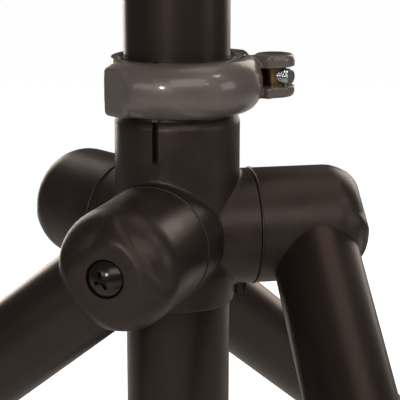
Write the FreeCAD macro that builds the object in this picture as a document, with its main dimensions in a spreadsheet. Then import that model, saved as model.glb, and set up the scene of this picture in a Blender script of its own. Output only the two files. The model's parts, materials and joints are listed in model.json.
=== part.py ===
import FreeCAD, Part
import os
import re
from FreeCAD import Placement, Rotation, Vector

# Folding tripod stand: a moulded hub on a round mast, a lever clamp that grips the mast
# in the hub's slotted neck, and three legs that fold about the hub's radial arms.
# Everything is drawn about the hub's centre, where the mast axis crosses the plane of
# the arm axes, with arm 1 along +X. Each finished piece is then raised to hubHeight and
# turned to its own arm. Heights named ...Z are above that plane.

doc = FreeCAD.newDocument("TripodStand")
sheet = doc.addObject("Spreadsheet::Sheet", "Sizes")

DRIVING_SIZES = {
    # mast
    "mastRadius": 19.0,
    "mastWall": 2.0,
    "mastAbove": 470.0,
    "mastBelow": 230.0,
    "plugFlange": 3.0,
    "plugSpigot": 18.0,
    "plugWall": 2.5,
    # hub sleeve and neck
    "mastClearance": 0.06,
    "sleeveWall": 3.0,
    "skirtTopDrop": 14.0,
    "skirtDepth": 26.0,
    "skirtLip": 1.2,
    "shoulderZ": 42.4,
    "neckWall": 1.9,
    "neckTopZ": 63.6,
    "slitWidth": 2.2,
    "slitBottomZ": 28.0,
    # hub arms
    "armRadius": 21.2,
    "stubProud": 4.5,
    "journalRadius": 14.0,
    "journalLength": 4.4,
    "runningClearance": 0.05,
    "seamGap": 0.3,
    "stopRadius": 17.6,
    "stopBulk": 3.0,
    "stopLength": 2.4,
    "stopSweep": 18.0,
    "stopSlack": 1.0,
    "keyFromSeam": 1.8,
    "keyWidth": 4.8,
    "keyDrop": 3.4,
    "keyRoot": 3.0,
    "keyRib": 1.6,
    "keyGroove": 0.8,
    "keyGrooveDepth": 1.6,
    # pivot screws
    "shankRadius": 3.0,
    "screwHeadRadius": 6.2,
    "screwHeadHeight": 3.6,
    "screwHeadRound": 2.4,
    "crossLength": 6.6,
    "crossWidth": 1.3,
    "crossDepth": 1.9,
    "washerThickness": 0.8,
    "insertRadius": 4.6,
    "insertLength": 10.0,
    # knuckles
    "tubeInset": 2.0,
    "domeRound": 17.0,
    "domeProud": 17.0,
    "barrelWall": 5.4,
    "barrelHalf": 14.0,
    "barrelRound": 5.0,
    "lipRound": 2.5,
    "recessDepth": 2.1,
    "shellProud": 2.5,
    "shellRound": 17.0,
    "recessGap": 0.4,
    "seatWall": 1.9,
    "socketDepth": 11.0,
    # legs
    "legRadius": 16.0,
    "legWall": 1.8,
    "legReach": 620.0,
    "legTilt": 51.4,
    "foldTravel": 51.4,
    "footRadius": 20.0,
    "footCup": 50.0,
    "soleThickness": 16.0,
    "collarProud": 1.2,
    "collarLength": 8.0,
    "soleFlat": 1.2,
    # clamp band and ears
    "clampTurn": 41.0,
    "bandClearance": 0.05,
    "bandWall": 2.4,
    "bandBottomZ": 45.2,
    "bandTopZ": 63.2,
    "earProud": 10.0,
    "earGap": 3.0,
    "leverEar": 7.6,
    "nutEar": 7.0,
    "earBottomZ": 46.2,
    "earTopZ": 63.6,
    "earRound": 8.6,
    "tongueReach": 1.6,
    "tongueDrop": 2.0,
    # tension bolt, nut, cam seat and barrel pin
    "boltProud": 4.6,
    "boltRadius": 3.0,
    "boltZ": 55.1,
    "boltTip": 7.4,
    "boltSlack": 0.2,
    "boltEnd": 1.2,
    "boltChamfer": 0.5,
    "nutRadius": 5.8,
    "nutHeight": 5.0,
    "seatRadius": 6.0,
    "seatThickness": 8.0,
    "pinRadius": 4.4,
    "pinProud": 13.3,
    # clamp lever
    "forkRadius": 7.5,
    "forkRound": 1.4,
    "forkBottomZ": 47.6,
    "forkTopZ": 63.0,
    "slotHeight": 7.0,
    "slotRadius": 9.8,
    "leverGap": 0.7,
    "leverThickness": 6.5,
    "leverBottomZ": 44.3,
    "leverTopZ": 63.4,
    "leverRound": 6.0,
    "leverStart": -200.0,
    "leverSweep": 160.0,
    "tabDepth": 5.1,
    "tabTurn": -189.0,
    "tabBack": 5.5,
    "tabFront": 6.4,
    "tabTopZ": 61.6,
    "tabRound": 1.5,
    "neckLength": 9.0,
    "neckHalf": 4.5,
}

for row, (alias, value) in enumerate(DRIVING_SIZES.items(), start=1):
    sheet.set(f"A{row}", alias)
    sheet.set(f"B{row}", str(value))
    sheet.setAlias(f"B{row}", alias)
doc.recompute()

X, Y, Z = Vector(1, 0, 0), Vector(0, 1, 0), Vector(0, 0, 1)
WORD = re.compile(r"[A-Za-z]+")
ARMS = (1, 2, 3)
ARM_STEP = 120
ALONG_ARM = (Y, "90")
ALONG_LEG = (X, "180 - legTilt")
ALONG_BOLT = (X, "90")
HUB_HEIGHT = "((legReach - footRadius) * cos(legTilt) + footRadius - soleFlat)"
SLEEVE_BORE = "(mastRadius + mastClearance)"
SLEEVE_OUTER = f"({SLEEVE_BORE} + sleeveWall)"
NECK_OUTER = f"({SLEEVE_BORE} + neckWall)"
STUB_REACH = f"({SLEEVE_OUTER} + stubProud)"
JOURNAL_END = f"({STUB_REACH} + journalLength)"
INSERT_START = f"({JOURNAL_END} - insertLength)"
KNUCKLE_START = f"({STUB_REACH} + seamGap)"
LEG_OFFSET = f"({JOURNAL_END} + tubeInset + legRadius)"
DOME_REACH = f"({LEG_OFFSET} + domeProud)"
BARREL_RADIUS = "(legRadius + barrelWall)"
SCREW_SEAT = f"({LEG_OFFSET} + legRadius + seatWall)"
RECESS_RADIUS = "(screwHeadRadius + recessGap)"
PAD_REACH = f"({SCREW_SEAT} + recessDepth)"
SHELL_REACH = f"({PAD_REACH} + shellProud)"
BAND_BORE = f"({NECK_OUTER} + bandClearance)"
BAND_OUTER = f"({BAND_BORE} + bandWall)"
EAR_REACH = f"({BAND_OUTER} + earProud)"
LEVER_EAR_FACE = "(earGap / 2 + leverEar)"
NUT_EAR_FACE = "(earGap / 2 + nutEar)"
BOLT_OFFSET = f"({BAND_OUTER} + boltProud)"
PIN_REACH = f"({LEVER_EAR_FACE} + pinProud)"
LEVER_INNER = f"({BAND_OUTER} + leverGap)"
LEVER_OUTER = f"({LEVER_INNER} + leverThickness)"
TAB_FLAT = f"({LEVER_INNER} + tabDepth)"
TONGUE_TURN = f"({2 * ARM_STEP} - clampTurn)"
FAR = "100"  # longer than any cut made with it
OVER = "1"  # how far a tool passes the face it starts from
nodes = {}


def cells(text):
    """Point every size named in an expression at its cell in the sheet."""
    return WORD.sub(lambda m: f"Sizes.{m[0]}" if m[0] in DRIVING_SIZES else m[0], str(text))


def number(text):
    """The value of an expression in the sheet's sizes."""
    return float(sheet.evalExpression(text))


def place(thing, at=("0", "0", "0"), turn=None):
    """Put a feature at bound coordinates, turned about one axis by a bound angle."""
    axis, angle = turn or (Z, "0")
    thing.Placement = Placement(Vector(), Rotation(axis, 1))
    thing.setExpression("Placement.Rotation.Angle", cells(angle))
    for letter, value in zip("xyz", at):
        thing.setExpression(f"Placement.Base.{letter}", cells(value))
    return thing


def primitive(kind, name, at=("0", "0", "0"), turn=None, **bound):
    thing = doc.addObject(f"Part::{kind}", name)
    for prop, value in bound.items():
        thing.setExpression(prop, cells(value))
    return place(thing, at, turn)


def cylinder(name, radius, length, at=("0", "0", "0"), turn=None):
    return primitive("Cylinder", name, at, turn, Radius=radius, Height=length)


def box(name, size, at=("0", "0", "0"), turn=None):
    length, width, height = size
    return primitive("Box", name, at, turn, Length=length, Width=width, Height=height)


def fuse(name, *things):
    whole = doc.addObject("Part::MultiFuse", name)
    whole.Shapes = things
    whole.Refine = True
    return whole


def cut(name, base, *tools):
    whole = doc.addObject("Part::Cut", name)
    whole.Base = base
    whole.Tool = tools[0] if len(tools) == 1 else fuse(f"{name}Tools", *tools)
    whole.Refine = True
    return whole


def group(name, thing):
    """Wrap a feature, so that it can be turned about the mast after its own turn."""
    whole = doc.addObject("Part::Compound", name)
    whole.Links = [thing]
    return whole


def common(name, first, second):
    whole = doc.addObject("Part::MultiCommon", name)
    whole.Shapes = (first, second)
    return whole


def rounded(name, base, radius, wanted):
    """Fillet the edges of a base feature that answer to a test."""
    doc.recompute()
    size = number(radius)
    edges = [(n, size, size) for n, edge in enumerate(base.Shape.Edges, start=1) if wanted(edge)]
    fillet = doc.addObject("Part::Fillet", name)
    fillet.Base = base
    fillet.Edges = edges
    return fillet


def is_circle(edge):
    return isinstance(edge.Curve, Part.Circle)


def on_arm(reach):
    """A point on arm 1's axis."""
    return (reach, "0", "0")


def on_leg(reach):
    """A point on leg 1's axis, measured from the arm axis towards the foot."""
    return (LEG_OFFSET, f"-({reach}) * sin(legTilt)", f"-({reach}) * cos(legTilt)")


def on_turn(angle, out, side, height):
    """A point at a radial and a sideways distance in a frame turned about the mast."""
    along = f"({out}) * cos({angle}) - ({side}) * sin({angle})"
    across = f"({out}) * sin({angle}) + ({side}) * cos({angle})"
    return (along, across, height)


def finish(name, thing, turn="0"):
    """Name a finished piece, turn it to its arm or its ears and raise it to its height."""
    thing.Label = name
    nodes[name] = place(thing, ("0", "0", HUB_HEIGHT), (Z, turn))


# ---- hub ----
def arm_angle(arm):
    return str((arm - 1) * ARM_STEP)


def stub(arm):
    """One hub arm: stub, turned journal, fold stop and the ribbed key under it."""
    name = f"stub{arm}"
    barrel = cylinder(f"{name}Barrel", "armRadius", STUB_REACH, turn=ALONG_ARM)
    journal = cylinder(f"{name}Journal", "journalRadius", JOURNAL_END, turn=ALONG_ARM)
    stop_length = f"stopLength + {OVER}"
    stop_start = on_arm(f"{STUB_REACH} - {OVER}")
    stop_outer = primitive("Cylinder", f"{name}StopOuter", stop_start, ALONG_ARM,
                           Radius="stopRadius + stopBulk / 2", Height=stop_length, Angle="stopSweep")
    stop_inner = cylinder(f"{name}StopInner", "stopRadius - stopBulk / 2", stop_length, stop_start, ALONG_ARM)
    stop = cut(f"{name}Stop", stop_outer, stop_inner)
    key = box(f"{name}Key", ("keyWidth", "keyWidth", "keyDrop + keyRoot"),
              (f"{STUB_REACH} - keyFromSeam - keyWidth", "-keyWidth", "-armRadius - keyDrop"))
    key_middle = f"{STUB_REACH} - keyFromSeam - keyWidth / 2"
    grooves = [
        box(f"{name}Groove{n}", ("keyGroove", f"keyGrooveDepth + {OVER}", FAR),
            (f"{key_middle} {side} keyRib / 2", f"-keyWidth - {OVER}", f"-armRadius - keyDrop - {OVER}"))
        for n, side in ((1, "- keyGroove -"), (2, "+"))
    ]
    solid = fuse(f"{name}Solid", barrel, journal, stop, cut(f"{name}RibbedKey", key, *grooves))
    return place(solid, turn=(Z, arm_angle(arm)))


def insert_bore(arm):
    bore = cylinder(f"insertBore{arm}Hole", "insertRadius", FAR, on_arm(INSERT_START), ALONG_ARM)
    return place(group(f"insertBore{arm}", bore), turn=(Z, arm_angle(arm)))


def slit(arm):
    """The split in the sleeve's neck over one arm, with a round lower end."""
    inside = "mastRadius / 2"
    slot = box(f"slit{arm}Slot", (FAR, "slitWidth", FAR), (inside, "-slitWidth / 2", "slitBottomZ"))
    end = cylinder(f"slit{arm}End", "slitWidth / 2", FAR, (inside, "0", "slitBottomZ"), ALONG_ARM)
    return place(fuse(f"slit{arm}", slot, end), turn=(Z, arm_angle(arm)))


def make_hub():
    sleeve = cylinder("sleeve", SLEEVE_OUTER, "shoulderZ + skirtTopDrop", ("0", "0", "-skirtTopDrop"))
    neck = cylinder("neck", NECK_OUTER, "neckTopZ + skirtTopDrop", ("0", "0", "-skirtTopDrop"))
    skirt = primitive("Cone", "skirt", ("0", "0", "-skirtDepth"), Radius1=f"{SLEEVE_BORE} + skirtLip",
                      Radius2=SLEEVE_OUTER, Height="skirtDepth - skirtTopDrop")
    solid = fuse("hubSolid", sleeve, neck, skirt, *[stub(arm) for arm in ARMS])
    bore = cylinder("sleeveBore", SLEEVE_BORE, f"neckTopZ + skirtDepth + 2 * {OVER}",
                    ("0", "0", f"-skirtDepth - {OVER}"))
    tools = [bore] + [insert_bore(arm) for arm in ARMS] + [slit(arm) for arm in ARMS]
    finish("hub_body", cut("hub", solid, *tools))


def make_pivot(arm):
    """Threaded insert, screw and washer on one arm's axis."""
    name = f"pivot{arm}"
    bush = cylinder(f"{name}Bush", "insertRadius", "insertLength", on_arm(INSERT_START), ALONG_ARM)
    thread = cylinder(f"{name}Thread", "shankRadius", FAR, on_arm(f"{INSERT_START} - {OVER}"), ALONG_ARM)
    finish(f"hub_insert_{arm}", cut(f"{name}Insert", bush, thread), arm_angle(arm))

    washer_start = f"({SCREW_SEAT} + runningClearance)"
    disc = cylinder(f"{name}Disc", "screwHeadRadius", "washerThickness", on_arm(washer_start), ALONG_ARM)
    hole = cylinder(f"{name}Hole", "shankRadius", FAR, on_arm(f"{SCREW_SEAT} - {OVER}"), ALONG_ARM)
    finish(f"pivot_washer_{arm}", cut(f"{name}Washer", disc, hole), arm_angle(arm))

    head_start = f"({washer_start} + washerThickness)"
    blank = cylinder(f"{name}Blank", "screwHeadRadius", "screwHeadHeight", on_arm(head_start), ALONG_ARM)
    middle = number(f"{head_start} + screwHeadHeight / 2")
    head = rounded(f"{name}Head", blank, "screwHeadRound",
                   lambda e: is_circle(e) and e.CenterOfMass.x > middle)
    shank = cylinder(f"{name}Shank", "shankRadius", f"{head_start} - ({INSERT_START})", on_arm(INSERT_START),
                     ALONG_ARM)
    crosses = [
        box(f"{name}Cross{n}", (f"crossDepth + {OVER}", width, height),
            (f"{head_start} + screwHeadHeight - crossDepth", f"-({width}) / 2", f"-({height}) / 2"))
        for n, (width, height) in enumerate((("crossWidth", "crossLength"), ("crossLength", "crossWidth")), 1)
    ]
    screw = cut(f"{name}Screw", fuse(f"{name}ScrewSolid", head, shank), *crosses)
    finish(f"pivot_screw_{arm}", screw, arm_angle(arm))


# ---- legs ----
def make_knuckle(arm):
    """Domed arm cap crossed by the short barrel that holds the leg tube."""
    name = f"knuckle{arm}"
    seam = on_arm(KNUCKLE_START)
    inside_seam = on_arm(f"{KNUCKLE_START} - {OVER}")
    cap = cylinder(f"{name}Cap", "armRadius", f"{DOME_REACH} - {KNUCKLE_START}", seam, ALONG_ARM)
    past = number(LEG_OFFSET)
    dome = rounded(f"{name}Dome", cap, "domeRound", lambda e: is_circle(e) and e.CenterOfMass.x > past)
    drum = cylinder(f"{name}Drum", BARREL_RADIUS, "2 * barrelHalf", on_leg("-barrelHalf"), ALONG_LEG)
    closed = rounded(f"{name}ClosedEnd", drum, "barrelRound", lambda e: is_circle(e) and e.CenterOfMass.z > 0)
    barrel = rounded(f"{name}Barrel", closed, "lipRound", lambda e: is_circle(e) and e.CenterOfMass.z < 0)
    shell = cylinder(f"{name}Shell", "armRadius", f"{SHELL_REACH} - {KNUCKLE_START}", seam, ALONG_ARM)
    envelope = rounded(f"{name}Envelope", shell, "shellRound",
                       lambda e: is_circle(e) and e.CenterOfMass.x > past)
    trimmed = common(f"{name}TrimmedBarrel", barrel, envelope)
    beyond_pad = cylinder(f"{name}BeyondPad", "2 * armRadius", FAR, on_arm(PAD_REACH), ALONG_ARM)
    solid = fuse(f"{name}Solid", dome, cut(f"{name}Padded", trimmed, beyond_pad))

    socket = cylinder(f"{name}Socket", "legRadius", FAR, on_leg("-socketDepth"), ALONG_LEG)
    bearing = cylinder(f"{name}Bearing", "journalRadius + runningClearance", f"journalLength + {OVER}",
                       inside_seam, ALONG_ARM)
    bolt_way = cylinder(f"{name}BoltWay", "shankRadius + runningClearance", FAR, seam, ALONG_ARM)
    recess = cylinder(f"{name}Recess", RECESS_RADIUS, FAR, on_arm(SCREW_SEAT), ALONG_ARM)
    track_outer = primitive("Cylinder", f"{name}TrackOuter", inside_seam, ALONG_ARM,
                            Radius="stopRadius + stopBulk / 2 + seamGap",
                            Height=f"stopLength + seamGap + {OVER}",
                            Angle="stopSweep + foldTravel + 2 * stopSlack")
    track_inner = cylinder(f"{name}TrackInner", "stopRadius - stopBulk / 2 - seamGap", FAR, inside_seam,
                           ALONG_ARM)
    track = place(cut(f"{name}Track", track_outer, track_inner), turn=(X, "-foldTravel - stopSlack"))
    finish(f"knuckle_{arm}", cut(name, solid, socket, bearing, bolt_way, recess, track), arm_angle(arm))


def make_leg_tube(arm):
    name = f"leg{arm}"
    length = "legReach - soleThickness + socketDepth"
    outer = cylinder(f"{name}Outer", "legRadius", length, on_leg("-socketDepth"), ALONG_LEG)
    inner = cylinder(f"{name}Inner", "legRadius - legWall", f"{length} + 2 * {OVER}",
                     on_leg(f"-socketDepth - {OVER}"), ALONG_LEG)
    bolt_way = cylinder(f"{name}BoltWay", "shankRadius + runningClearance", FAR, on_arm(STUB_REACH),
                        ALONG_ARM)
    finish(f"leg_tube_{arm}", cut(name, outer, inner, bolt_way), arm_angle(arm))


def make_foot(arm):
    """Rubber cup with a ball end on the tube, collared at its mouth and flat where it stands."""
    name = f"foot{arm}"
    top = "(legReach - soleThickness - footCup)"
    ball_reach = "(legReach - footRadius)"
    barrel = cylinder(f"{name}Barrel", "footRadius", f"{ball_reach} - {top}", on_leg(top), ALONG_LEG)
    ball = primitive("Sphere", f"{name}Ball", on_leg(ball_reach), Radius="footRadius")
    collar = cylinder(f"{name}Collar", "footRadius + collarProud", "collarLength", on_leg(top), ALONG_LEG)
    pocket = cylinder(f"{name}Pocket", "legRadius", "footCup", on_leg(top), ALONG_LEG)
    floor = box(f"{name}Floor", ("4 * footRadius", "2 * legReach", FAR),
                (f"{LEG_OFFSET} - 2 * footRadius", "-2 * legReach", f"-{HUB_HEIGHT} - {FAR}"))
    solid = fuse(f"{name}Solid", barrel, ball, collar)
    finish(f"leg_foot_{arm}", cut(name, solid, pocket, floor), arm_angle(arm))


# ---- mast ----
def make_mast():
    outer = cylinder("mastOuter", "mastRadius", "mastAbove + mastBelow", ("0", "0", "-mastBelow"))
    inner = cylinder("mastInner", "mastRadius - mastWall", f"mastAbove + mastBelow + 2 * {OVER}",
                     ("0", "0", f"-mastBelow - {OVER}"))
    finish("mast_tube", cut("mast", outer, inner))


def make_plug(node, name, flange_z, spigot_z, hollow_z):
    """A moulded plug: flange over the tube's end, hollow spigot inside it."""
    flange = cylinder(f"{name}Flange", "mastRadius", "plugFlange", ("0", "0", flange_z))
    spigot = cylinder(f"{name}Spigot", "mastRadius - mastWall", "plugSpigot", ("0", "0", spigot_z))
    hollow = cylinder(f"{name}Hollow", "mastRadius - mastWall - plugWall", "plugSpigot", ("0", "0", hollow_z))
    solid = cut(f"{name}Solid", fuse(f"{name}Blank", flange, spigot), hollow)
    finish(node, solid)


# ---- clamp: drawn with the ears along +X and the bolt along Y ----
def bolt_hole(name, radius):
    return cylinder(name, radius, FAR, (BOLT_OFFSET, f"{FAR} / 2", "boltZ"), ALONG_BOLT)


def on_pin(height):
    """A point on the barrel pin's axis, which the lever turns about."""
    return (BOLT_OFFSET, f"-{PIN_REACH}", height)


def ear(name, near, thickness):
    block = box(f"{name}Block", (f"{EAR_REACH} - {BAND_BORE}", thickness, "earTopZ - earBottomZ"),
                (BAND_BORE, near, "earBottomZ"))
    tip = number(EAR_REACH) - 0.01
    return rounded(name, block, "earRound",
                   lambda e: e.CenterOfMass.x > tip and abs(e.tangentAt(e.FirstParameter).y) > 0.99)


def make_band():
    ring = cylinder("bandRing", BAND_OUTER, "bandTopZ - bandBottomZ", ("0", "0", "bandBottomZ"))
    lever_ear = ear("leverEarBlock", f"-{LEVER_EAR_FACE}", "leverEar")
    nut_ear = ear("nutEarBlock", "earGap / 2", "nutEar")
    tongue = box("bandTongue", ("tongueReach", "slitWidth - 2 * bandClearance", "tongueDrop + 1"),
                 on_turn(TONGUE_TURN, BAND_BORE, "bandClearance - slitWidth / 2", "bandBottomZ - tongueDrop"),
                 (Z, TONGUE_TURN))
    bore = cylinder("bandBore", BAND_BORE, FAR, ("0", "0", "shoulderZ"))
    gap = box("bandGap", (FAR, "earGap", FAR), ("mastRadius / 2", "-earGap / 2", "shoulderZ"))
    bolt_way = bolt_hole("bandBoltWay", "boltRadius + boltSlack")
    solid = fuse("bandSolid", ring, lever_ear, nut_ear, tongue)
    finish("clamp_band", cut("band", solid, bore, gap, bolt_way), "clampTurn")


def make_tension_bolt():
    start = f"({NUT_EAR_FACE} + nutHeight + boltEnd)"
    bolt = cylinder("boltBlank", "boltRadius", f"{start} + {PIN_REACH} + boltTip",
                    (BOLT_OFFSET, start, "boltZ"), ALONG_BOLT)
    ends = doc.addObject("Part::Chamfer", "boltEnds")
    doc.recompute()
    size = number("boltChamfer")
    ends.Base = bolt
    ends.Edges = [(n, size, size) for n, edge in enumerate(bolt.Shape.Edges, start=1) if is_circle(edge)]
    finish("tension_bolt", group("boltCarrier", ends), "clampTurn")

    back = f"{NUT_EAR_FACE} + nutHeight + runningClearance"
    nut = primitive("Prism", "nutBlank", (BOLT_OFFSET, back, "boltZ"), ALONG_BOLT,
                    Circumradius="nutRadius", Height="nutHeight")
    nut.Polygon = 6
    thread = bolt_hole("nutThread", "boltRadius")
    finish("tension_nut", cut("nut", nut, thread), "clampTurn")


def make_cam_seat():
    """Thrust pad: flat against the ear, hollowed to the round of the lever's fork."""
    pad = cylinder("seatPad", "seatRadius", "seatThickness",
                   (BOLT_OFFSET, f"-({LEVER_EAR_FACE}) - runningClearance", "boltZ"), ALONG_BOLT)
    cam = cylinder("seatCam", "forkRadius + 2 * runningClearance", FAR, on_pin("shoulderZ"))
    bolt_way = bolt_hole("seatBoltWay", "boltRadius + boltSlack")
    finish("cam_seat", cut("seat", pad, cam, bolt_way), "clampTurn")


def make_barrel_pin():
    pin = cylinder("pinBlank", "pinRadius", "forkTopZ - forkBottomZ", on_pin("forkBottomZ"))
    thread = bolt_hole("pinThread", "boltRadius")
    finish("barrel_pin", cut("pin", pin, thread), "clampTurn")


def make_lever():
    """Curved lever hugging the band, with a forked round head and a flattened finger tab."""
    outer = primitive("Cylinder", "leverOuterArc", ("0", "0", "leverBottomZ"), (Z, "leverStart"),
                      Radius=LEVER_OUTER, Height="leverTopZ - leverBottomZ", Angle="leverSweep")
    reach = number(LEVER_OUTER) - 0.01
    grip = rounded("leverGrip", outer, "leverRound", lambda e: is_circle(e) and e.Curve.Radius > reach)
    flat = box("tabFlatCut", (FAR, f"2 * {LEVER_OUTER}", FAR),
               on_turn("tabTurn", TAB_FLAT, f"-{LEVER_OUTER}", "shoulderZ"), (Z, "tabTurn"))
    drum = cylinder("forkDrum", "forkRadius", "forkTopZ - forkBottomZ", on_pin("forkBottomZ"))
    head = rounded("forkHead", drum, "forkRound", is_circle)
    block = box("tabBlank", (f"{TAB_FLAT} - mastRadius", "tabFront + tabBack", "tabTopZ - leverBottomZ"),
                on_turn("tabTurn", "mastRadius", "-tabFront", "leverBottomZ"), (Z, "tabTurn"))
    tab = rounded("tabBlock", block, "tabRound", lambda e: True)
    neck = box("leverNeck", ("neckLength", "2 * neckHalf", "forkTopZ - forkBottomZ"),
               (f"{BOLT_OFFSET} - neckLength", f"-{PIN_REACH} - neckHalf", "forkBottomZ"))
    solid = fuse("leverSolid", cut("leverTab", grip, flat), tab, head, neck)
    inside = cylinder("leverInside", LEVER_INNER, FAR, ("0", "0", "shoulderZ"))
    slot = cylinder("forkSlot", "slotRadius", "slotHeight", on_pin("boltZ - slotHeight / 2"))
    pin_way = cylinder("forkPinWay", "pinRadius + runningClearance", FAR, on_pin("shoulderZ"))
    finish("clamp_lever", cut("lever", solid, inside, slot, pin_way), "clampTurn")


make_hub()
for arm in ARMS:
    make_pivot(arm)
    make_knuckle(arm)
    make_leg_tube(arm)
    make_foot(arm)
make_mast()
make_plug("mast_top_cap", "topCap", "mastAbove", "mastAbove - plugSpigot", "mastAbove - plugSpigot")
make_plug("mast_bottom_plug", "bottomPlug", "-mastBelow - plugFlange", "-mastBelow", "-mastBelow")
make_band()
make_tension_bolt()
make_cam_seat()
make_barrel_pin()
make_lever()
doc.recompute()

for thing in doc.Objects:
    if {"Invalid", "Error"} & set(thing.State):
        raise RuntimeError(f"{thing.Name} failed: {thing.State}")
for name, thing in nodes.items():
    if thing.Shape.isNull() or not thing.Shape.isValid():
        raise RuntimeError(f"{name} has no valid shape")

os.makedirs("parts", exist_ok=True)
for name, thing in nodes.items():
    thing.Shape.exportStep(f"parts/{name}.step")
    print(f"{name}: {len(thing.Shape.Solids)} solid, {thing.Shape.Volume:.1f} mm3")
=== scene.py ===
import math
import json

import bpy
from mathutils import Matrix, Vector


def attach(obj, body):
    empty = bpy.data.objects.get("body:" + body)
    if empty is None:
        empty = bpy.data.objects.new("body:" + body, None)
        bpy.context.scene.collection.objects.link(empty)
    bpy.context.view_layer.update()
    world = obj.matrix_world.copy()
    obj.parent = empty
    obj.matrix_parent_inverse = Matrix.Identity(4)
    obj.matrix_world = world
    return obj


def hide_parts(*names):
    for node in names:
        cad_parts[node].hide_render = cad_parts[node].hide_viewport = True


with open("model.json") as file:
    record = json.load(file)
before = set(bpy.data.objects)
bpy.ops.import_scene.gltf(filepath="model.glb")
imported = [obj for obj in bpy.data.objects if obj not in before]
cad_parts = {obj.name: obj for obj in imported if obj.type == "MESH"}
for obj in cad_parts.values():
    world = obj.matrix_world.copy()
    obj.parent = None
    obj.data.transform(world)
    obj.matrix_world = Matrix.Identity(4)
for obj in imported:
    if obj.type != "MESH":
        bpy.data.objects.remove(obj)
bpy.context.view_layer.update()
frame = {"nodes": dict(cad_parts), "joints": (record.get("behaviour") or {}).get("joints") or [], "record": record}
nodes = frame["nodes"]
joints = {joint["name"]: joint for joint in frame["joints"]}
firstFold = joints["leg_1_fold"]
hubCentre = Vector((0, 0, firstFold["pos_m"][2]))
legTilt = math.radians(firstFold["range_deg"][1])
legCross = Vector(firstFold["pos_m"])  # where leg 1's axis crosses arm 1's
legDown = Vector((0, -math.sin(legTilt), -math.cos(legTilt)))
outward = Vector((1, 0, 0))  # arm 1 points along +X
arms = (1, 2, 3)
print("frame loaded:", len(nodes), "nodes")


# ---- small helpers for shader nodes ----
def addNode(tree, kind, place, **settings):
    node = tree.nodes.new(kind)
    node.location = place
    for name, value in settings.items():
        setattr(node, name, value)
    return node


def feed(tree, socket, value):
    if isinstance(value, bpy.types.NodeSocket):
        tree.links.new(value, socket)
    else:
        socket.default_value = value


def newGroup(name, inputs, outputs):
    group = bpy.data.node_groups.new(name, "ShaderNodeTree")
    for label, kind, value in inputs:
        group.interface.new_socket(name=label, in_out="INPUT", socket_type=kind).default_value = value
    for label, kind in outputs:
        group.interface.new_socket(name=label, in_out="OUTPUT", socket_type=kind)
    start = addNode(group, "NodeGroupInput", (-900, 0))
    end = addNode(group, "NodeGroupOutput", (800, 0))
    return group, start.outputs, end.inputs


def noiseFac(tree, place, vector, scale, detail=3.0):
    noise = addNode(tree, "ShaderNodeTexNoise", place)
    feed(tree, noise.inputs["Vector"], vector)
    feed(tree, noise.inputs["Scale"], scale)
    noise.inputs["Detail"].default_value = detail
    return noise.outputs["Fac"]


def spread(tree, place, value, fromLow, fromHigh, toLow=0.0, toHigh=1.0):
    node = addNode(tree, "ShaderNodeMapRange", place, clamp=True)
    for label, given in (("Value", value), ("From Min", fromLow), ("From Max", fromHigh),
                         ("To Min", toLow), ("To Max", toHigh)):
        feed(tree, node.inputs[label], given)
    return node.outputs["Result"]


def sums(tree, place, operation, first, second):
    node = addNode(tree, "ShaderNodeMath", place, operation=operation)
    feed(tree, node.inputs[0], first)
    feed(tree, node.inputs[1], second)
    return node.outputs[0]


def mixColours(tree, place, share, first, second):
    node = addNode(tree, "ShaderNodeMix", place, data_type="RGBA")
    for index, value in ((0, share), (6, first), (7, second)):
        feed(tree, node.inputs[index], value)
    return node.outputs[2]


def makeMottle():
    group, given, out = newGroup("mottledSkin", [
        ("Position", "NodeSocketVector", (0, 0, 0)),
        ("Dark", "NodeSocketColor", (0, 0, 0, 1)),
        ("Light", "NodeSocketColor", (1, 1, 1, 1)),
        ("Cloud Scale", "NodeSocketFloat", 60.0),
        ("Grain Scale", "NodeSocketFloat", 1500.0),
        ("Grain Depth", "NodeSocketFloat", 0.2),
        ("Gloss Low", "NodeSocketFloat", 0.35),
        ("Gloss High", "NodeSocketFloat", 0.5),
    ], [("Color", "NodeSocketColor"), ("Roughness", "NodeSocketFloat"), ("Height", "NodeSocketFloat")])
    cloud = noiseFac(group, (-650, 250), given["Position"], given["Cloud Scale"])
    grain = noiseFac(group, (-650, -50), given["Position"], given["Grain Scale"], 2.0)
    cloudy = spread(group, (-430, 250), cloud, 0.3, 0.7, 0.0, 0.7)
    specks = spread(group, (-430, -50), grain, 0.35, 0.75, 0.0, 0.3)
    both = sums(group, (-200, 150), "ADD", cloudy, specks)
    feed(group, out["Color"], mixColours(group, (50, 200), both, given["Dark"], given["Light"]))
    feed(group, out["Roughness"],
         spread(group, (50, -50), both, 0.0, 1.0, given["Gloss Low"], given["Gloss High"]))
    feed(group, out["Height"], sums(group, (50, -300), "MULTIPLY", grain, given["Grain Depth"]))
    return group


mottle = makeMottle()


# ---- finishes ----
def newFinish(name, metallic=0.0, specular=0.5, sheenTint=(1, 1, 1, 1), coat=0.0, coatRoughness=0.1):
    material = bpy.data.materials.new(name)
    material.use_nodes = True
    shader = material.node_tree.nodes["Principled BSDF"]
    shader.inputs["Metallic"].default_value = metallic
    shader.inputs["Specular IOR Level"].default_value = specular
    shader.inputs["Specular Tint"].default_value = sheenTint
    shader.inputs["Coat Weight"].default_value = coat
    shader.inputs["Coat Roughness"].default_value = coatRoughness
    place = addNode(material.node_tree, "ShaderNodeTexCoord", (-1100, 0)).outputs["Object"]
    return material, material.node_tree, shader.inputs, place


def placeGroup(tree, place, group, **values):
    node = addNode(tree, "ShaderNodeGroup", place)
    node.node_tree = group
    for label, value in values.items():
        feed(tree, node.inputs[label.replace("_", " ")], value)
    return node.outputs


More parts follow.
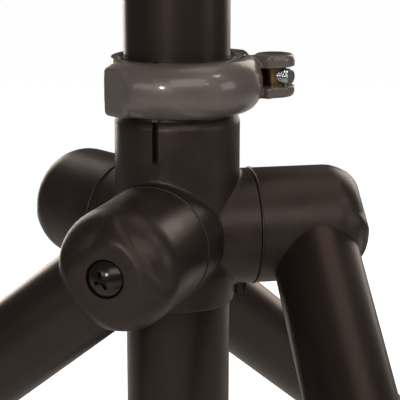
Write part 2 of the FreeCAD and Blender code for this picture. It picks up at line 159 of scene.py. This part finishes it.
def bumpFrom(tree, place, height, distance, strength=1.0, under=None):
    node = addNode(tree, "ShaderNodeBump", place)
    node.inputs["Distance"].default_value = distance
    node.inputs["Strength"].default_value = strength
    feed(tree, node.inputs["Height"], height)
    if under is not None:
        feed(tree, node.inputs["Normal"], under)
    return node.outputs["Normal"]


def makeMottledFinish(name, look, **shaderValues):
    material, tree, shader, place = newFinish(name, **shaderValues)
    skin = placeGroup(tree, (-600, 100), mottle, Position=place, Dark=look["dark"], Light=look["light"],
                      Cloud_Scale=look["cloudScale"], Grain_Scale=look["grainScale"],
                      Grain_Depth=1.0, Gloss_Low=look["glossLow"], Gloss_High=look["glossHigh"])
    feed(tree, shader["Base Color"], skin["Color"])
    feed(tree, shader["Roughness"], skin["Roughness"])
    feed(tree, shader["Normal"], bumpFrom(tree, (-250, -200), skin["Height"], look["grainDepth"]))
    return material


mouldedLook = {"dark": (0.0128, 0.009, 0.0076, 1), "light": (0.025, 0.019, 0.0162, 1), "cloudScale": 90.0,
               "grainScale": 1400.0, "grainDepth": 0.00006, "glossLow": 0.34, "glossHigh": 0.47}
tubeLook = {"dark": (0.0118, 0.008, 0.0068, 1), "light": (0.0165, 0.012, 0.0102, 1), "cloudScale": 25.0,
            "grainScale": 2600.0, "grainDepth": 0.00002, "glossLow": 0.3, "glossHigh": 0.38}
leverLook = {"dark": (0.105, 0.081, 0.069, 1), "light": (0.16, 0.13, 0.111, 1), "cloudScale": 55.0,
             "grainScale": 900.0, "grainDepth": 0.00002, "glossLow": 0.3, "glossHigh": 0.4}
capLook = {"dark": (0.011, 0.0105, 0.01, 1), "light": (0.02, 0.019, 0.018, 1), "cloudScale": 80.0,
           "grainScale": 1800.0, "grainDepth": 0.00008, "glossLow": 0.45, "glossHigh": 0.6}
rubberLook = {"dark": (0.009, 0.009, 0.009, 1), "light": (0.022, 0.0215, 0.021, 1), "cloudScale": 60.0,
              "grainScale": 1100.0, "grainDepth": 0.0002, "glossLow": 0.62, "glossHigh": 0.8}
oxideLook = {"dark": (0.0045, 0.0036, 0.0032, 1), "light": (0.009, 0.0074, 0.0066, 1), "cloudScale": 300.0,
             "grainScale": 3000.0, "grainDepth": 0.00001, "glossLow": 0.2, "glossHigh": 0.3}
zincLook = {"dark": (0.42, 0.43, 0.45, 1), "light": (0.62, 0.63, 0.66, 1), "cloudScale": 400.0,
            "grainScale": 2500.0, "grainDepth": 0.00001, "glossLow": 0.18, "glossHigh": 0.32}
brassLook = {"dark": (0.13, 0.075, 0.033, 1), "light": (0.3, 0.19, 0.09, 1), "cloudScale": 350.0,
             "grainScale": 2200.0, "grainDepth": 0.00001, "glossLow": 0.28, "glossHigh": 0.42}

warmTint = (1.0, 0.75, 0.63, 1)
mouldedBrown = makeMottledFinish("mouldedBrown", mouldedLook, specular=0.5, sheenTint=warmTint)
bronzeTube = makeMottledFinish("bronzeTube", tubeLook, specular=0.5, sheenTint=warmTint)
leverPaint = makeMottledFinish("leverPaint", leverLook, specular=0.5, sheenTint=(1, 0.9, 0.82, 1),
                               coat=0.5, coatRoughness=0.09)
capPlastic = makeMottledFinish("capPlastic", capLook)
footRubber = makeMottledFinish("footRubber", rubberLook, specular=0.35)
blackSteel = makeMottledFinish("blackSteel", oxideLook, specular=0.45, sheenTint=(1, 0.86, 0.78, 1),
                               coat=0.15, coatRoughness=0.12)
zincSteel = makeMottledFinish("zincSteel", zincLook, metallic=1.0)
pinBrass = makeMottledFinish("pinBrass", brassLook, metallic=1.0)

finishOf = {"moulded_brown": mouldedBrown, "bronze_tube": bronzeTube, "lever_paint": leverPaint,
            "cap_plastic": capPlastic, "foot_rubber": footRubber, "black_steel": blackSteel,
            "zinc_steel": zincSteel, "brass": pinBrass}
for part in frame["record"]["subparts"]:
    node = nodes[part["node"]]
    node.data.materials.clear()
    node.data.materials.append(finishOf[part["material_slot"]])
print("finishes made:", len(finishOf))


# ---- modelling helpers ----
def deselectAll():
    for thing in bpy.context.selected_objects:
        thing.select_set(False)


def activate(piece):
    deselectAll()
    piece.select_set(True)
    bpy.context.view_layer.objects.active = piece


def turnTo(direction):
    return Vector(direction).to_track_quat("Z", "Y").to_euler()


def addCylinder(name, radius, start, stop, sides=128):
    deselectAll()
    middle = (Vector(start) + Vector(stop)) / 2
    length = (Vector(stop) - Vector(start)).length
    bpy.ops.mesh.primitive_cylinder_add(vertices=sides, radius=radius, depth=length, location=middle,
                                        rotation=turnTo(Vector(stop) - Vector(start)))
    piece = bpy.context.active_object
    piece.name = piece.data.name = name
    bpy.ops.object.transform_apply(location=True, rotation=True, scale=True)
    return piece


def alongArm(reach):
    return hubCentre + outward * reach


def alongLeg(reach):
    return legCross + legDown * reach


def aboveHub(height):
    return hubCentre + Vector((0, 0, height))


def turnMesh(piece, degrees):
    piece.data.transform(Matrix.Rotation(math.radians(degrees), 4, "Z"))
    return piece


def addBox(name, low, high):
    deselectAll()
    low, high = Vector(low), Vector(high)
    bpy.ops.mesh.primitive_cube_add(size=1, location=(low + high) / 2)
    piece = bpy.context.active_object
    piece.name = piece.data.name = name
    piece.scale = high - low
    bpy.ops.object.transform_apply(location=True, rotation=True, scale=True)
    return piece


def addRing(name, centre, direction, radius, thickness):
    deselectAll()
    bpy.ops.mesh.primitive_torus_add(major_segments=96, minor_segments=16, major_radius=radius,
                                     minor_radius=thickness, location=centre, rotation=turnTo(direction))
    piece = bpy.context.active_object
    piece.name = piece.data.name = name
    bpy.ops.object.transform_apply(location=True, rotation=True, scale=True)
    return piece


def selectEdges(piece, wanted):
    bpy.ops.object.mode_set(mode="OBJECT")
    points = [vertex.co for vertex in piece.data.vertices]
    for vertex in piece.data.vertices:
        vertex.select = False
    for face in piece.data.polygons:
        face.select = False
    for edge in piece.data.edges:
        edge.select = wanted(points[edge.vertices[0]], points[edge.vertices[1]])
    bpy.ops.object.mode_set(mode="EDIT")
    bpy.ops.mesh.select_mode(type="EDGE")


def bevelRim(piece, centre, direction, size, segments):
    # rounds the end rim of a cylinder whose cap lies at centre, square to direction
    activate(piece)
    near = size / 100

    def onCap(first, second):
        return all(abs((point - centre).dot(direction)) < near for point in (first, second))

    selectEdges(piece, onCap)
    bpy.ops.mesh.bevel(offset=size, segments=segments, profile=0.5, affect="EDGES")
    bpy.ops.object.mode_set(mode="OBJECT")


def combine(piece, tool, operation):
    activate(piece)
    change = piece.modifiers.new(operation.lower(), "BOOLEAN")
    change.operation = operation
    change.solver = "MANIFOLD"
    change.object = tool
    bpy.ops.object.modifier_apply(modifier=change.name)
    bpy.data.objects.remove(tool)


def blendSkin(piece, voxel, passes):
    # one even skin over the joined solids, with its inner corners and outer edges softened
    activate(piece)
    skin = piece.modifiers.new("skin", "REMESH")
    skin.mode = "VOXEL"
    skin.voxel_size = voxel
    bpy.ops.object.modifier_apply(modifier=skin.name)
    soften = piece.modifiers.new("soften", "SMOOTH")
    soften.factor = 0.5
    soften.iterations = passes
    bpy.ops.object.modifier_apply(modifier=soften.name)


def sliceOff(piece, point, normal):
    # cuts away what lies beyond the point along the normal and closes the cut
    activate(piece)
    bpy.ops.object.mode_set(mode="EDIT")
    bpy.ops.mesh.select_all(action="SELECT")
    bpy.ops.mesh.bisect(plane_co=point, plane_no=normal, use_fill=True, clear_outer=True)
    bpy.ops.object.mode_set(mode="OBJECT")


mergeGap = 1e-6
smoothAngle = math.radians(32)
armStep = 120  # degrees from one arm to the next


def dress(piece, finish, body, replaced=()):
    activate(piece)
    bpy.ops.object.mode_set(mode="EDIT")
    bpy.ops.mesh.select_all(action="SELECT")
    bpy.ops.mesh.remove_doubles(threshold=mergeGap)
    bpy.ops.object.mode_set(mode="OBJECT")
    piece.data.materials.clear()
    piece.data.materials.append(finish)
    bpy.ops.object.shade_smooth_by_angle(angle=smoothAngle)
    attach(piece, body)
    if replaced:
        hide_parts(*replaced)


def copyAround(piece, name, step):
    twin = piece.copy()
    twin.data = piece.data.copy()
    twin.name = twin.data.name = name
    bpy.context.scene.collection.objects.link(twin)
    twin.data.transform(Matrix.Rotation(math.radians(armStep * step), 4, "Z"))
    return twin


# ---- knuckles: a domed cap on each arm crossed by the barrel that takes the leg ----
knuckleSizes = {"armRadius": 0.0212, "seam": 0.02686, "domeReach": 0.0672, "domeRound": 0.0118,
                "barrelRadius": 0.0214, "barrelHalf": 0.014, "closedRound": 0.005, "lipRound": 0.0025,
                "shellReach": 0.07146, "shellRound": 0.017, "padReach": 0.06896, "socketRadius": 0.016,
                "socketDepth": 0.011, "bearingRadius": 0.01405, "bearingDepth": 0.0041, "boltRadius": 0.00305,
                "recessRadius": 0.0066, "recessFloor": 0.06686, "beadRadius": 0.0004, "pastSeam": 0.008,
                "beyond": 0.1, "voxel": 0.0006, "passes": 11}


def makeKnuckle():
    size = knuckleSizes
    # the cap starts short of the seam, so that the later cut there stays crisp
    inner = alongArm(size["seam"] - size["pastSeam"])
    knuckle = addCylinder("knuckleShell1", size["armRadius"], inner, alongArm(size["domeReach"]))
    bevelRim(knuckle, alongArm(size["domeReach"]), outward, size["domeRound"], 12)
    closedEnd, openEnd = alongLeg(-size["barrelHalf"]), alongLeg(size["barrelHalf"])
    barrel = addCylinder("barrel", size["barrelRadius"], closedEnd, openEnd)
    bevelRim(barrel, closedEnd, legDown, size["closedRound"], 8)
    bevelRim(barrel, openEnd, legDown, size["lipRound"], 6)
    envelope = addCylinder("envelope", size["armRadius"], inner, alongArm(size["shellReach"]))
    bevelRim(envelope, alongArm(size["shellReach"]), outward, size["shellRound"], 12)
    sliceOff(envelope, alongArm(size["padReach"]), outward)
    combine(barrel, envelope, "INTERSECT")
    combine(knuckle, barrel, "UNION")
    blendSkin(knuckle, size["voxel"], size["passes"])
    sliceOff(knuckle, alongArm(size["seam"]), -outward)
    bead = addRing("seamBead", alongArm(size["seam"] + size["beadRadius"]), outward, size["armRadius"],
                   size["beadRadius"])
    combine(knuckle, bead, "UNION")
    past = alongArm(size["beyond"])
    bearingEnd = alongArm(size["seam"] + size["bearingDepth"])
    cuts = [
        addCylinder("socket", size["socketRadius"], alongLeg(-size["socketDepth"]), alongLeg(size["beyond"])),
        addCylinder("bearing", size["bearingRadius"], inner, bearingEnd),
        addCylinder("boltWay", size["boltRadius"], inner, past, 48),
        addCylinder("recess", size["recessRadius"], alongArm(size["recessFloor"]), past),
    ]
    for cut in cuts:
        combine(knuckle, cut, "DIFFERENCE")
    return knuckle


firstKnuckle = makeKnuckle()
knuckles = [firstKnuckle] + [copyAround(firstKnuckle, f"knuckleShell{arm}", arm - 1) for arm in arms[1:]]
for arm, knuckle in zip(arms, knuckles):
    dress(knuckle, mouldedBrown, f"leg_{arm}", (f"knuckle_{arm}",))
print("knuckles made:", len(firstKnuckle.data.polygons), "faces each")

# ---- pivot screws: a domed cross-recess head on a plain shank ----
screwSizes = {"seat": 0.06771, "headRadius": 0.0062, "headHeight": 0.0036, "domeHeight": 0.0029,
              "shankRadius": 0.003, "shankStart": 0.021, "crossLength": 0.0062, "crossWidth": 0.0013,
              "crossDepth": 0.002, "crossPit": 0.0014, "pitShare": 1.2, "crossTurn": 24, "cutPast": 0.001,
              "overlap": 0.0002}


def makeScrew():
    size = screwSizes
    top = size["seat"] + size["headHeight"]
    screw = addCylinder("screwShell1", size["headRadius"], alongArm(size["seat"]), alongArm(top), 96)
    ballRadius = (size["headRadius"] ** 2 + size["domeHeight"] ** 2) / (2 * size["domeHeight"])
    deselectAll()
    bpy.ops.mesh.primitive_uv_sphere_add(segments=128, ring_count=96, radius=ballRadius,
                                         location=alongArm(top - ballRadius), rotation=turnTo(outward))
    bpy.ops.object.transform_apply(location=True, rotation=True, scale=True)
    combine(screw, bpy.context.active_object, "INTERSECT")
    half, width = size["crossLength"] / 2, size["crossWidth"] / 2
    for turn in (size["crossTurn"], size["crossTurn"] + 90):
        wing = addBox("wing", (top - size["crossDepth"], -half, -width), (top + size["cutPast"], half, width))
        wing.data.transform(Matrix.Translation(hubCentre) @ Matrix.Rotation(math.radians(turn), 4, "X"))
        combine(screw, wing, "DIFFERENCE")
    pitFloor = alongArm(top - size["crossDepth"] * size["pitShare"])
    pit = addCylinder("pit", size["crossPit"], pitFloor, alongArm(top + size["cutPast"]), 32)
    combine(screw, pit, "DIFFERENCE")
    combine(screw, addCylinder("shank", size["shankRadius"], alongArm(size["shankStart"]),
                               alongArm(size["seat"] + size["overlap"]), 48), "UNION")
    return screw


firstScrew = makeScrew()
screws = [firstScrew] + [copyAround(firstScrew, f"screwShell{arm}", arm - 1) for arm in arms[1:]]
for arm, screw in zip(arms, screws):
    dress(screw, blackSteel, "hub", (f"pivot_screw_{arm}",))
print("screws made:", len(firstScrew.data.polygons), "faces each")

# ---- hub: the sleeve round the mast, its split neck and the three stub arms ----
hubSizes = {"bore": 0.01906, "sleeveRadius": 0.0225, "sleeveLow": -0.014, "shoulder": 0.0424,
            "neckRadius": 0.02096, "neckTop": 0.0636, "skirtRadius": 0.02026, "skirtLow": -0.026,
            "taperLow": 0.0404, "taperRadius": 0.0216, "armRadius": 0.0212, "stubReach": 0.02656,
            "journalRadius": 0.014, "journalStart": 0.022, "journalLength": 0.0044, "boreOfInsert": 0.0046,
            "insertLength": 0.01, "slitWidth": 0.0022, "slitLow": 0.0294, "slitTop": 0.08,
            "slitStart": 0.009, "slitReach": 0.03, "slitEndReach": 0.0305, "beadRadius": 0.0005,
            "beadPoints": 120, "pastSeam": 0.006, "pastNeck": 0.004, "farReach": 0.05, "farHalf": 0.03,
            "boreLow": -0.05, "boreHigh": 0.1, "voxel": 0.0006, "passes": 2}
keySizes = {"fromSeam": 0.0018, "width": 0.0048, "drop": 0.0034, "rib": 0.0016, "intoArm": 0.003,
            "slotSide": 0.01, "slotBelow": 0.001}


def makeStub(arm):
    size = hubSizes
    stub = addCylinder("stub", size["armRadius"], hubCentre, alongArm(size["stubReach"] + size["pastSeam"]))
    return turnMesh(stub, armStep * (arm - 1))


def boxFromHub(name, low, high):
    return addBox(name, hubCentre + Vector(low), hubCentre + Vector(high))


def trimStub(hub, arm):
    # cuts the blended arm off square at its seam, then adds the journal and the ribbed key under it
    size, key = hubSizes, keySizes
    turn = armStep * (arm - 1)
    reach, farReach, farHalf = size["stubReach"], size["farReach"], size["farHalf"]
    far = boxFromHub("farSide", (reach, -farHalf, -farHalf), (farReach, farHalf, farHalf))
    combine(hub, turnMesh(far, turn), "DIFFERENCE")
    journal = addCylinder("journal", size["journalRadius"], alongArm(size["journalStart"]),
                          alongArm(reach + size["journalLength"]), 96)
    combine(hub, turnMesh(journal, turn), "UNION")
    right = reach - key["fromSeam"]
    low = -size["armRadius"] - key["drop"]
    lug = boxFromHub("lug", (right - key["width"], -key["width"], low),
                     (right, 0, low + key["drop"] + key["intoArm"]))
    groove = (key["width"] - key["rib"]) / 4
    for side in (-1, 1):
        middle = right - key["width"] / 2 + side * (key["width"] + key["rib"]) / 4
        slot = boxFromHub("slot", (middle - groove / 2, -key["slotSide"], low - key["slotBelow"]),
                          (middle + groove / 2, -key["width"] * 2 / 3, 0))
        combine(lug, slot, "DIFFERENCE")
    combine(hub, turnMesh(lug, turn), "UNION")
    insertStart = alongArm(reach + size["journalLength"] - size["insertLength"])
    insert = addCylinder("insertBore", size["boreOfInsert"], insertStart, alongArm(farReach), 48)
    combine(hub, turnMesh(insert, turn), "DIFFERENCE")
    half, slitLow = size["slitWidth"] / 2, size["slitLow"]
    slit = boxFromHub("slit", (size["slitStart"], -half, slitLow), (size["slitReach"], half, size["slitTop"]))
    slitEnd = addCylinder("slitEnd", half, aboveHub(slitLow) + outward * size["slitStart"],
                          aboveHub(slitLow) + outward * size["slitEndReach"], 32)
    combine(hub, turnMesh(slit, turn), "DIFFERENCE")
    combine(hub, turnMesh(slitEnd, turn), "DIFFERENCE")


def sleeveRadiusAt(height):
    size = hubSizes
    share = min(1, max(0, (size["sleeveLow"] - height) / (size["sleeveLow"] - size["skirtLow"])))
    return size["sleeveRadius"] + share * (size["skirtRadius"] - size["sleeveRadius"])


def addBead(arm):
    # a thin moulding line where the arm leaves the sleeve and meets the arms beside it
    size = hubSizes
    points = []
    for step in range(size["beadPoints"]):
        angle = 2 * math.pi * step / size["beadPoints"]
        side, height = size["armRadius"] * math.cos(angle), size["armRadius"] * math.sin(angle)
        reach = math.sqrt(max(0, sleeveRadiusAt(height) ** 2 - side ** 2))
        points.append(hubCentre + Vector((max(reach, abs(side) / math.sqrt(3)), side, height)))
    line = bpy.data.curves.new(f"mouldingLine{arm}", "CURVE")
    line.dimensions = "3D"
    line.bevel_depth = size["beadRadius"]
    line.bevel_resolution = 2
    spline = line.splines.new("POLY")
    spline.points.add(len(points) - 1)
    for point, place in zip(spline.points, points):
        point.co = (*place, 1)
    spline.use_cyclic_u = True
    bead = bpy.data.objects.new(f"mouldingLine{arm}", line)
    bpy.context.scene.collection.objects.link(bead)
    activate(bead)
    bpy.ops.object.convert(target="MESH")
    return turnMesh(bpy.context.active_object, armStep * (arm - 1))


def addCone(name, lowRadius, highRadius, low, high):
    deselectAll()
    bpy.ops.mesh.primitive_cone_add(vertices=128, radius1=lowRadius, radius2=highRadius, depth=high - low,
                                    location=aboveHub((low + high) / 2))
    piece = bpy.context.active_object
    piece.name = piece.data.name = name
    bpy.ops.object.transform_apply(location=True, rotation=True, scale=True)
    return piece


def makeHub():
    size = hubSizes
    sleeve, sleeveLow, taperLow = size["sleeveRadius"], size["sleeveLow"], size["taperLow"]
    hub = addCylinder("hubShell", sleeve, aboveHub(sleeveLow), aboveHub(taperLow))
    combine(hub, addCone("skirt", size["skirtRadius"], sleeve, size["skirtLow"], sleeveLow), "UNION")
    combine(hub, addCone("taper", sleeve, size["taperRadius"], taperLow, size["shoulder"]), "UNION")
    neck = addCylinder("neck", size["neckRadius"], hubCentre, aboveHub(size["neckTop"] + size["pastNeck"]))
    combine(hub, neck, "UNION")
    for arm in arms:
        combine(hub, makeStub(arm), "UNION")
    blendSkin(hub, size["voxel"], size["passes"])
    sliceOff(hub, aboveHub(size["neckTop"]), Vector((0, 0, 1)))
    mastBore = addCylinder("mastBore", size["bore"], aboveHub(size["boreLow"]), aboveHub(size["boreHigh"]))
    combine(hub, mastBore, "DIFFERENCE")
    for arm in arms:
        trimStub(hub, arm)
    return hub


hub = makeHub()
dress(hub, mouldedBrown, "hub", ("hub_body",))
for arm in arms:
    dress(addBead(arm), mouldedBrown, "hub")
print("hub made:", len(hub.data.polygons), "faces")

# ---- feet: a grooved rubber tip with a round end, cut flat where it stands ----
footSizes = {"tipFlat": 0.0003, "radius": 0.02, "top": 0.554, "ball": 0.6, "collarRadius": 0.0212,
             "collarLength": 0.008, "grooveRadius": 0.02013, "collarRound": 0.0012,
             "firstGroove": 0.568, "grooveStep": 0.007, "grooves": 5, "grooveDepth": 0.0009}


def makeFoot():
    size = footSizes
    tip = alongLeg(size["ball"] + size["radius"])
    foot = addCylinder("footShell1", size["radius"], alongLeg(size["top"]), tip, 90)
    bevelRim(foot, tip, legDown, size["radius"] - size["tipFlat"], 24)
    collarEnd = alongLeg(size["top"] + size["collarLength"])
    collar = addCylinder("collar", size["collarRadius"], alongLeg(size["top"]), collarEnd, 96)
    bevelRim(collar, alongLeg(size["top"]), legDown, size["collarRound"], 4)
    bevelRim(collar, collarEnd, legDown, size["collarRound"], 4)
    combine(foot, collar, "UNION")
    for groove in range(size["grooves"]):
        centre = alongLeg(size["firstGroove"] + groove * size["grooveStep"])
        ring = addRing("groove", centre, legDown, size["grooveRadius"], size["grooveDepth"])
        combine(foot, ring, "DIFFERENCE")
    sliceOff(foot, Vector((0, 0, 0)), Vector((0, 0, -1)))
    return foot


firstFoot = makeFoot()
feet = [firstFoot] + [copyAround(firstFoot, f"footShell{arm}", arm - 1) for arm in arms[1:]]
for arm, foot in zip(arms, feet):
    dress(foot, footRubber, f"leg_{arm}", (f"leg_foot_{arm}",))
print("feet made:", len(firstFoot.data.polygons), "faces each")

# ---- clamp lever: half a flattened ring that hugs the band, a finger tab and a forked head ----
# the clamp is drawn with its ears along +X and turned to its place last
clampTurn = 41
leverSizes = {"middle": 0.05385, "halfHeight": 0.00955, "inner": 0.02411, "thickness": 0.0065, "start": -200,
              "end": -40, "tabTurn": -189, "tabFlat": 0.02921, "tabBack": 0.0055, "tabFront": 0.0064,
              "tabLow": 0.0443, "tabHigh": 0.0616, "tabRound": 0.0016, "tabInner": 0.019,
              "pinAlong": 0.02801, "pinReach": 0.0224, "cutHigh": 0.1, "forkRadius": 0.0075,
              "forkLow": 0.0476, "forkHigh": 0.063, "forkRound": 0.0015, "slotRadius": 0.0098,
              "slotLow": 0.0516, "slotHigh": 0.0586, "pinWay": 0.00445, "neckLength": 0.009,
              "neckHalf": 0.0045, "voxel": 0.0005, "passes": 9, "edgeVoxel": 0.0004, "edgePasses": 2}


def atTurn(degrees):
    angle = math.radians(degrees)
    return Vector((math.cos(angle), math.sin(angle), 0))


def roundAll(piece, size, segments):
    activate(piece)
    bpy.ops.object.mode_set(mode="EDIT")
    bpy.ops.mesh.select_all(action="SELECT")
    bpy.ops.mesh.bevel(offset=size, segments=segments, profile=0.5, affect="EDGES")
    bpy.ops.object.mode_set(mode="OBJECT")


def makeLever():
    size = leverSizes
    deselectAll()
    bpy.ops.mesh.primitive_torus_add(major_segments=144, minor_segments=40, major_radius=size["inner"],
                                     minor_radius=size["thickness"], location=aboveHub(size["middle"]))
    lever = bpy.context.active_object
    lever.name = lever.data.name = "leverShell"
    lever.scale.z = size["halfHeight"] / size["thickness"]
    bpy.ops.object.transform_apply(location=True, rotation=True, scale=True)
    sliceOff(lever, hubCentre, atTurn(size["end"] + 90))
    sliceOff(lever, hubCentre, atTurn(size["start"] - 90))
    sliceOff(lever, hubCentre + atTurn(size["tabTurn"]) * size["tabFlat"], atTurn(size["tabTurn"]))
    tab = addBox("tab", hubCentre + Vector((size["tabInner"], -size["tabFront"], size["tabLow"])),
                 hubCentre + Vector((size["tabFlat"], size["tabBack"], size["tabHigh"])))
    roundAll(tab, size["tabRound"], 5)
    combine(lever, turnMesh(tab, size["tabTurn"]), "UNION")
    pin = Vector((size["pinAlong"], -size["pinReach"], 0))
    forkLow, forkHigh = aboveHub(size["forkLow"]) + pin, aboveHub(size["forkHigh"]) + pin
    fork = addCylinder("fork", size["forkRadius"], forkLow, forkHigh)
    for end in (forkHigh, forkLow):
        bevelRim(fork, end, Vector((0, 0, 1)), size["forkRound"], 5)
    combine(lever, fork, "UNION")
    neck = addBox("neck", forkLow - Vector((size["neckLength"], size["neckHalf"], 0)),
                  forkHigh + Vector((0, size["neckHalf"], 0)))
    combine(lever, neck, "UNION")
    blendSkin(lever, size["voxel"], size["passes"])
    cutHigh = aboveHub(size["cutHigh"])
    combine(lever, addCylinder("inside", size["inner"], hubCentre, cutHigh), "DIFFERENCE")
    combine(lever, addCylinder("slot", size["slotRadius"], aboveHub(size["slotLow"]) + pin,
                               aboveHub(size["slotHigh"]) + pin), "DIFFERENCE")
    blendSkin(lever, size["edgeVoxel"], size["edgePasses"])
    pinWay = addCylinder("pinWay", size["pinWay"], hubCentre + pin, cutHigh + pin, 64)
    combine(lever, pinWay, "DIFFERENCE")
    return turnMesh(lever, clampTurn)


lever = makeLever()
dress(lever, leverPaint, "lever", ("clamp_lever",))
print("lever made:", len(lever.data.polygons), "faces")

# ---- tension bolt: a threaded rod through both ears, the cam seat and the barrel pin ----
boltSizes = {"radius": 0.003, "start": 0.0147, "stop": -0.0298, "height": 0.0551, "pitch": 0.001,
             "depth": 0.00055, "chamfer": 0.0005, "sides": 32, "ringsPerPitch": 8, "flankSlope": 1.25,
             "crestShare": 0.1, "mergeGap": 0.00001}


def makeThreadedRod(name, size):
    length = size["start"] - size["stop"]
    rings = round(length / size["pitch"] * size["ringsPerPitch"])
    deselectAll()
    bpy.ops.mesh.primitive_grid_add(x_subdivisions=size["sides"], y_subdivisions=rings, size=1)
    rod = bpy.context.active_object
    rod.name = rod.data.name = name
    for vertex in rod.data.vertices:
        turn, along = vertex.co.x + 0.5, (vertex.co.y + 0.5) * length
        flank = abs(((along / size["pitch"] - turn) % 1) * 2 - 1)
        fromEnd = min(along, length - along)
        cutShare = min(1, max(0, size["flankSlope"] * flank - size["crestShare"]))
        radius = size["radius"] - size["depth"] * cutShare
        radius = min(radius, size["radius"] - size["chamfer"] * max(0, 1 - fromEnd / size["chamfer"]))
        angle = 2 * math.pi * turn
        vertex.co = (radius * math.cos(angle), size["start"] - along, radius * math.sin(angle))
    activate(rod)
    bpy.ops.object.mode_set(mode="EDIT")
    bpy.ops.mesh.select_all(action="SELECT")
    bpy.ops.mesh.remove_doubles(threshold=size["mergeGap"])
    bpy.ops.mesh.select_all(action="DESELECT")
    bpy.ops.mesh.select_non_manifold()
    bpy.ops.mesh.fill_holes(sides=0)
    bpy.ops.mesh.select_all(action="SELECT")
    bpy.ops.mesh.normals_make_consistent(inside=False)
    bpy.ops.object.mode_set(mode="OBJECT")
    return rod


tensionBolt = makeThreadedRod("tensionRod", boltSizes)
boltPlace = aboveHub(boltSizes["height"]) + Vector((leverSizes["pinAlong"], 0, 0))
tensionBolt.data.transform(Matrix.Translation(boltPlace))
turnMesh(tensionBolt, clampTurn)
dress(tensionBolt, zincSteel, "hub", ("tension_bolt",))
print("tension bolt made:", len(tensionBolt.data.polygons), "faces")

# ---- floor, light and camera ----
stageSizes = {"floorHalf": 12.0, "floorColour": (0.8, 0.8, 0.8, 1), "floorGlow": 0.9, "nearGlow": 0.45,
              "nearRadius": 0.5, "farRadius": 0.82, "floorRoughness": 0.7, "worldLight": 0.1}
cameraSizes = {"fromHub": (-0.08897, -0.49868, 0.13158), "tilt": 76.57, "turn": -11.04, "lens": 129.09,
               "clipStart": 0.02}
cameraTurn = -100  # the camera's own direction from the hub, in degrees round the mast
lampWhite, lampWarm = (1, 1, 1), (1, 0.87, 0.76)
lights = [
    # name, degrees to the camera's right, elevation, distance, width, height, power, colour
    ("frontBox", 16, 30, 1.5, 1.2, 0.6, 5.2, lampWhite),
    ("leftBox", -46, 15, 1.4, 0.6, 0.3, 1.2, lampWhite),
    ("leftSpot", -20, 15, 1.4, 0.12, 0.12, 4.2, lampWhite),
    ("rightBox", 71, 10, 1.4, 0.5, 0.4, 1.5, lampWhite),
    ("rightSpot", 66, 42, 1.4, 0.2, 0.2, 1.4, lampWhite),
    ("midSpot", 41, 22, 1.4, 0.08, 0.08, 0.15, lampWhite),
    ("topBox", 100, 74, 1.5, 1.0, 0.9, 3.2, lampWarm),
    ("rimRight", 148, 16, 1.5, 0.7, 1.1, 6.0, lampWarm),
    ("rimLeft", -155, 8, 1.5, 0.35, 1.2, 6.5, lampWarm),
]


def makeStage():
    deselectAll()
    bpy.ops.mesh.primitive_plane_add(size=2 * stageSizes["floorHalf"], location=(0, 0, 0))
    floor = bpy.context.active_object
    floor.name = floor.data.name = "studioFloor"
    material = bpy.data.materials.new("paleFloor")
    material.use_nodes = True
    shader = material.node_tree.nodes["Principled BSDF"].inputs
    shader["Base Color"].default_value = stageSizes["floorColour"]
    shader["Roughness"].default_value = stageSizes["floorRoughness"]
    shader["Emission Color"].default_value = (1, 1, 1, 1)
    tree = material.node_tree
    seen = addNode(tree, "ShaderNodeLightPath", (-600, -200)).outputs["Is Camera Ray"]
    place = addNode(tree, "ShaderNodeTexCoord", (-1100, -400)).outputs["Object"]
    reach = addNode(tree, "ShaderNodeVectorMath", (-900, -400), operation="LENGTH")
    feed(tree, reach.inputs[0], place)
    glow = spread(tree, (-600, -400), reach.outputs["Value"], stageSizes["nearRadius"],
                  stageSizes["farRadius"], stageSizes["nearGlow"], stageSizes["floorGlow"])
    feed(tree, shader["Emission Strength"], sums(tree, (-300, -200), "MULTIPLY", seen, glow))
    floor.data.materials.append(material)


def makeLights():
    for name, turn, rise, distance, width, height, power, colour in lights:
        deselectAll()
        tilt = math.radians(rise)
        towards = math.cos(tilt) * atTurn(cameraTurn + turn) + Vector((0, 0, math.sin(tilt)))
        place = hubCentre + distance * towards
        bpy.ops.object.light_add(type="AREA", location=place)
        lamp = bpy.context.active_object
        lamp.name = name
        lamp.data.shape = "RECTANGLE"
        lamp.data.size, lamp.data.size_y = width, height
        lamp.data.energy = power
        lamp.data.color = colour
        lamp.rotation_euler = (hubCentre - place).to_track_quat("-Z", "Y").to_euler()
    world = bpy.data.worlds.new("softStudio")
    world.use_nodes = True
    sky = world.node_tree.nodes["Background"].inputs
    sky["Color"].default_value = (1, 1, 1, 1)
    seen = addNode(world.node_tree, "ShaderNodeLightPath", (-600, 0)).outputs["Is Camera Ray"]
    feed(world.node_tree, sky["Strength"],
         spread(world.node_tree, (-300, 0), seen, 0.0, 1.0, stageSizes["worldLight"], 1.0))
    bpy.context.scene.world = world


def makeCamera():
    size = cameraSizes
    bpy.ops.object.camera_add(location=hubCentre + Vector(size["fromHub"]),
                              rotation=(math.radians(size["tilt"]), 0, math.radians(size["turn"])))
    camera = bpy.context.active_object
    camera.name = "closeUp"
    camera.data.lens = size["lens"]
    camera.data.clip_start = size["clipStart"]
    bpy.context.scene.camera = camera
    bpy.context.scene.view_settings.view_transform = "Standard"


makeStage()
makeLights()
makeCamera()
print("stage, lights and camera made")
